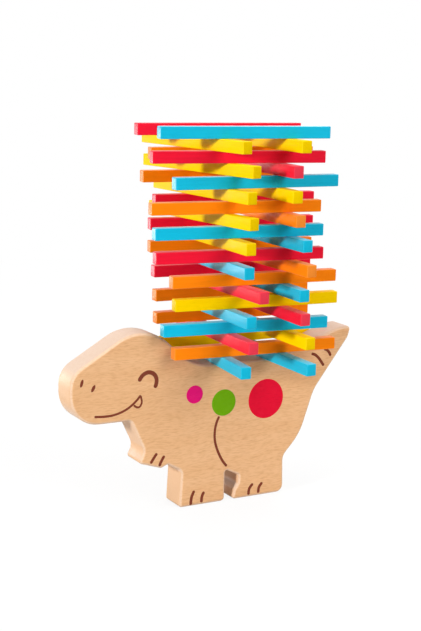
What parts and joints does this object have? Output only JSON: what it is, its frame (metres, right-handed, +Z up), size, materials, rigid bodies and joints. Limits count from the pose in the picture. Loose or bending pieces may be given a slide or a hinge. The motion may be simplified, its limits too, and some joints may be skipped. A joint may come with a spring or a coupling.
{
  "type": "dinosaur balance game",
  "caption": "Flat wooden dinosaur that stands on its feet, with a level saddle in its back on which loose painted sticks are stacked crisscross to balance a tower.",
  "frame": {"origin": "on the table, under the middle of the whole game's bounding box", "axes": "+X from the snout to the tail, +Y from the printed face to the back face, +Z up"},
  "size_m": [0.1819, 0.113, 0.2178],
  "materials": {
    "beech": "fine sanded beech, clear and nearly matt, edges rounded over",
    "red_paint": "red stained and lacquered beech, satin",
    "blue_paint": "sky blue stained and lacquered beech, satin",
    "yellow_paint": "yellow stained and lacquered beech, satin",
    "orange_paint": "orange stained and lacquered beech, satin",
    "brown_print": "brown ink printed on the beech, matt",
    "magenta_print": "magenta ink printed on the beech, matt",
    "green_print": "green ink printed on the beech, matt",
    "red_print": "red ink printed on the beech, matt"
  },
  "bodies": {
    "dinosaur_body": {"dinosaur_body": "beech"},
    "stick_01_left": {"stick_01_left": "blue_paint"},
    "stick_01_right": {"stick_01_right": "blue_paint"},
    "stick_02_front": {"stick_02_front": "orange_paint"},
    "stick_02_back": {"stick_02_back": "yellow_paint"},
    "stick_03_left": {"stick_03_left": "red_paint"},
    "stick_03_right": {"stick_03_right": "yellow_paint"},
    "stick_04_front": {"stick_04_front": "blue_paint"},
    "stick_04_back": {"stick_04_back": "orange_paint"},
    "stick_05_left": {"stick_05_left": "blue_paint"},
    "stick_05_right": {"stick_05_right": "red_paint"},
    "stick_06_front": {"stick_06_front": "yellow_paint"},
    "stick_06_back": {"stick_06_back": "orange_paint"},
    "stick_07_left": {"stick_07_left": "red_paint"},
    "stick_07_right": {"stick_07_right": "blue_paint"},
    "stick_08_front": {"stick_08_front": "orange_paint"},
    "stick_08_back": {"stick_08_back": "red_paint"},
    "stick_09_left": {"stick_09_left": "blue_paint"},
    "stick_09_right": {"stick_09_right": "orange_paint"},
    "stick_10_front": {"stick_10_front": "red_paint"},
    "stick_10_back": {"stick_10_back": "orange_paint"},
    "stick_11_left": {"stick_11_left": "yellow_paint"},
    "stick_11_right": {"stick_11_right": "blue_paint"},
    "stick_12_front": {"stick_12_front": "blue_paint"},
    "stick_12_back": {"stick_12_back": "red_paint"},
    "stick_13_left": {"stick_13_left": "yellow_paint"},
    "stick_13_right": {"stick_13_right": "orange_paint"},
    "stick_14_front": {"stick_14_front": "orange_paint"},
    "stick_14_back": {"stick_14_back": "red_paint"},
    "stick_15_left": {"stick_15_left": "yellow_paint"},
    "stick_15_right": {"stick_15_right": "yellow_paint"},
    "stick_16_front": {"stick_16_front": "blue_paint"},
    "stick_16_back": {"stick_16_back": "orange_paint"},
    "stick_17_left": {"stick_17_left": "yellow_paint"},
    "stick_17_right": {"stick_17_right": "red_paint"},
    "stick_18_front": {"stick_18_front": "red_paint"},
    "stick_18_back": {"stick_18_back": "orange_paint"},
    "stick_19_left": {"stick_19_left": "yellow_paint"},
    "stick_19_right": {"stick_19_right": "yellow_paint"},
    "stick_20_front": {"stick_20_front": "blue_paint"},
    "stick_20_back": {"stick_20_back": "red_paint"}
  },
  "joints": [
    {"name": "stick_20_front_lift", "type": "slide", "parent": "dinosaur_body", "child": "stick_20_front", "axis": [0, 0, 1], "range_m": [0, 0.06]},
    {"name": "stick_20_back_lift", "type": "slide", "parent": "dinosaur_body", "child": "stick_20_back", "axis": [0, 0, 1], "range_m": [0, 0.06]},
    {"name": "stick_19_left_pull", "type": "slide", "parent": "dinosaur_body", "child": "stick_19_left", "axis": [0.1045, -0.9945, 0], "range_m": [0, 0.095]},
    {"name": "stick_19_right_pull", "type": "slide", "parent": "dinosaur_body", "child": "stick_19_right", "axis": [0.0523, 0.9986, 0], "range_m": [0, 0.095]},
    {"name": "stick_18_front_pull", "type": "slide", "parent": "dinosaur_body", "child": "stick_18_front", "axis": [0.9833, -0.1822, 0], "range_m": [0, 0.095]},
    {"name": "stick_18_back_pull", "type": "slide", "parent": "dinosaur_body", "child": "stick_18_back", "axis": [-0.9936, 0.1132, 0], "range_m": [0, 0.095]},
    {"name": "stick_17_left_pull", "type": "slide", "parent": "dinosaur_body", "child": "stick_17_left", "axis": [0.165, -0.9863, 0], "range_m": [0, 0.095]},
    {"name": "stick_17_right_pull", "type": "slide", "parent": "dinosaur_body", "child": "stick_17_right", "axis": [0.0698, 0.9976, 0], "range_m": [0, 0.095]},
    {"name": "stick_16_front_pull", "type": "slide", "parent": "dinosaur_body", "child": "stick_16_front", "axis": [0.9981, -0.061, 0], "range_m": [0, 0.095]},
    {"name": "stick_16_back_pull", "type": "slide", "parent": "dinosaur_body", "child": "stick_16_back", "axis": [-0.9925, 0.1219, 0], "range_m": [0, 0.095]},
    {"name": "stick_15_left_pull", "type": "slide", "parent": "dinosaur_body", "child": "stick_15_left", "axis": [0.061, -0.9981, 0], "range_m": [0, 0.095]},
    {"name": "stick_15_right_pull", "type": "slide", "parent": "dinosaur_body", "child": "stick_15_right", "axis": [0.0872, 0.9962, 0], "range_m": [0, 0.095]},
    {"name": "stick_14_front_pull", "type": "slide", "parent": "dinosaur_body", "child": "stick_14_front", "axis": [0.9914, -0.1305, 0], "range_m": [0, 0.095]},
    {"name": "stick_14_back_pull", "type": "slide", "parent": "dinosaur_body", "child": "stick_14_back", "axis": [-0.9936, 0.1132, 0], "range_m": [0, 0.095]},
    {"name": "stick_13_left_pull", "type": "slide", "parent": "dinosaur_body", "child": "stick_13_left", "axis": [0.1045, -0.9945, 0], "range_m": [0, 0.095]},
    {"name": "stick_13_right_pull", "type": "slide", "parent": "dinosaur_body", "child": "stick_13_right", "axis": [0.0523, 0.9986, 0], "range_m": [0, 0.095]},
    {"name": "stick_12_front_pull", "type": "slide", "parent": "dinosaur_body", "child": "stick_12_front", "axis": [0.9925, -0.1219, 0], "range_m": [0, 0.095]},
    {"name": "stick_12_back_pull", "type": "slide", "parent": "dinosaur_body", "child": "stick_12_back", "axis": [-0.9848, 0.1736, 0], "range_m": [0, 0.095]},
    {"name": "stick_11_left_pull", "type": "slide", "parent": "dinosaur_body", "child": "stick_11_left", "axis": [-0.0523, -0.9986, 0], "range_m": [0, 0.095]},
    {"name": "stick_11_right_pull", "type": "slide", "parent": "dinosaur_body", "child": "stick_11_right", "axis": [0.0436, 0.999, 0], "range_m": [0, 0.095]},
    {"name": "stick_10_front_pull", "type": "slide", "parent": "dinosaur_body", "child": "stick_10_front", "axis": [0.9914, -0.1305, 0], "range_m": [0, 0.095]},
    {"name": "stick_10_back_pull", "type": "slide", "parent": "dinosaur_body", "child": "stick_10_back", "axis": [-0.9848, 0.1736, 0], "range_m": [0, 0.095]},
    {"name": "stick_09_left_pull", "type": "slide", "parent": "dinosaur_body", "child": "stick_09_left", "axis": [-0.0698, -0.9976, 0], "range_m": [0, 0.095]},
    {"name": "stick_09_right_pull", "type": "slide", "parent": "dinosaur_body", "child": "stick_09_right", "axis": [0.0175, 0.9998, 0], "range_m": [0, 0.095]},
    {"name": "stick_08_front_pull", "type": "slide", "parent": "dinosaur_body", "child": "stick_08_front", "axis": [0.9945, -0.1045, 0], "range_m": [0, 0.095]},
    {"name": "stick_08_back_pull", "type": "slide", "parent": "dinosaur_body", "child": "stick_08_back", "axis": [-0.9954, 0.0958, 0], "range_m": [0, 0.095]},
    {"name": "stick_07_left_pull", "type": "slide", "parent": "dinosaur_body", "child": "stick_07_left", "axis": [-0.0087, -1, 0], "range_m": [0, 0.095]},
    {"name": "stick_07_right_pull", "type": "slide", "parent": "dinosaur_body", "child": "stick_07_right", "axis": [0.061, 0.9981, 0], "range_m": [0, 0.095]},
    {"name": "stick_06_front_pull", "type": "slide", "parent": "dinosaur_body", "child": "stick_06_front", "axis": [0.9945, -0.1045, 0], "range_m": [0, 0.095]},
    {"name": "stick_06_back_pull", "type": "slide", "parent": "dinosaur_body", "child": "stick_06_back", "axis": [-0.999, 0.0436, 0], "range_m": [0, 0.095]},
    {"name": "stick_05_left_pull", "type": "slide", "parent": "dinosaur_body", "child": "stick_05_left", "axis": [-0.0436, -0.999, 0], "range_m": [0, 0.095]},
    {"name": "stick_05_right_pull", "type": "slide", "parent": "dinosaur_body", "child": "stick_05_right", "axis": [0.0523, 0.9986, 0], "range_m": [0, 0.095]},
    {"name": "stick_04_front_pull", "type": "slide", "parent": "dinosaur_body", "child": "stick_04_front", "axis": [0.9925, -0.1219, 0], "range_m": [0, 0.095]},
    {"name": "stick_04_back_pull", "type": "slide", "parent": "dinosaur_body", "child": "stick_04_back", "axis": [-0.9986, 0.0523, 0], "range_m": [0, 0.095]},
    {"name": "stick_03_left_pull", "type": "slide", "parent": "dinosaur_body", "child": "stick_03_left", "axis": [-0.0523, -0.9986, 0], "range_m": [0, 0.095]},
    {"name": "stick_03_right_pull", "type": "slide", "parent": "dinosaur_body", "child": "stick_03_right", "axis": [0.0087, 1, 0], "range_m": [0, 0.095]},
    {"name": "stick_02_front_pull", "type": "slide", "parent": "dinosaur_body", "child": "stick_02_front", "axis": [0.9954, -0.0958, 0], "range_m": [0, 0.095]},
    {"name": "stick_02_back_pull", "type": "slide", "parent": "dinosaur_body", "child": "stick_02_back", "axis": [-1, 0, 0], "range_m": [0, 0.095]},
    {"name": "stick_01_left_pull", "type": "slide", "parent": "dinosaur_body", "child": "stick_01_left", "axis": [-0.1132, -0.9936, 0], "range_m": [0, 0.095]},
    {"name": "stick_01_right_pull", "type": "slide", "parent": "dinosaur_body", "child": "stick_01_right", "axis": [0.0175, 0.9998, 0], "range_m": [0, 0.095]}
  ]
}
